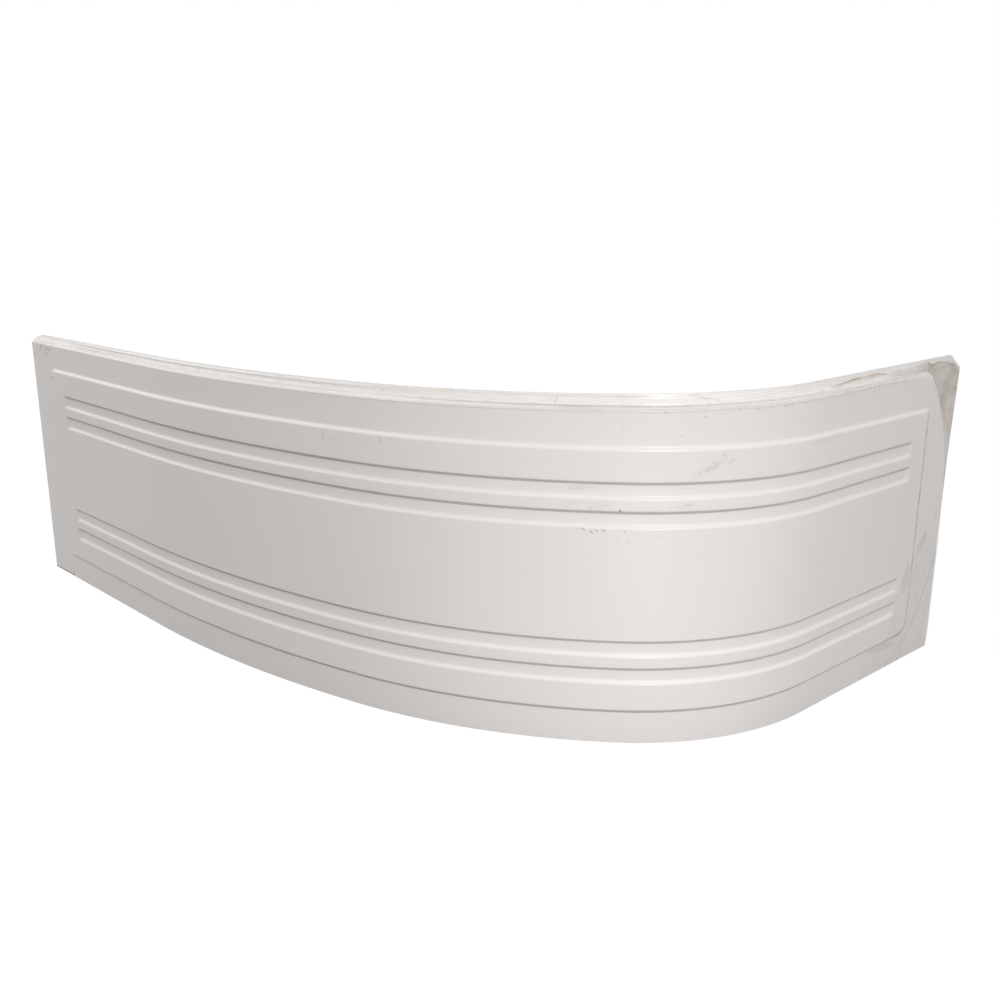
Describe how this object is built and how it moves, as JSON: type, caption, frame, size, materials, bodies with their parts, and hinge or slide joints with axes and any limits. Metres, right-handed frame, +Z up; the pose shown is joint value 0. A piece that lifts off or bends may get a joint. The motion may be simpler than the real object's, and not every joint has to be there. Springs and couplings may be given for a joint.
{
  "type": "bath panel",
  "caption": "Curved front panel for an asymmetric corner bath, formed from one glossy white plastic sheet with a raised field, long grooves, a top ledge with upstand and an end brim.",
  "frame": {"origin": "centre of the bounding box in plan, on the floor that the lower edge stands on", "axes": "+Z up, +X along the far straight towards the corner bend, front towards -Y and +X, right straight along +Y"},
  "size_m": [1.5952, 1.0772, 0.5445],
  "materials": {
    "white_sheet": "glossy white acrylic sheet, lightly dusty, with scuffs and a chipped lower corner"
  },
  "bodies": {
    "root": {"bath_panel": "white_sheet"}
  },
  "joints": []
}
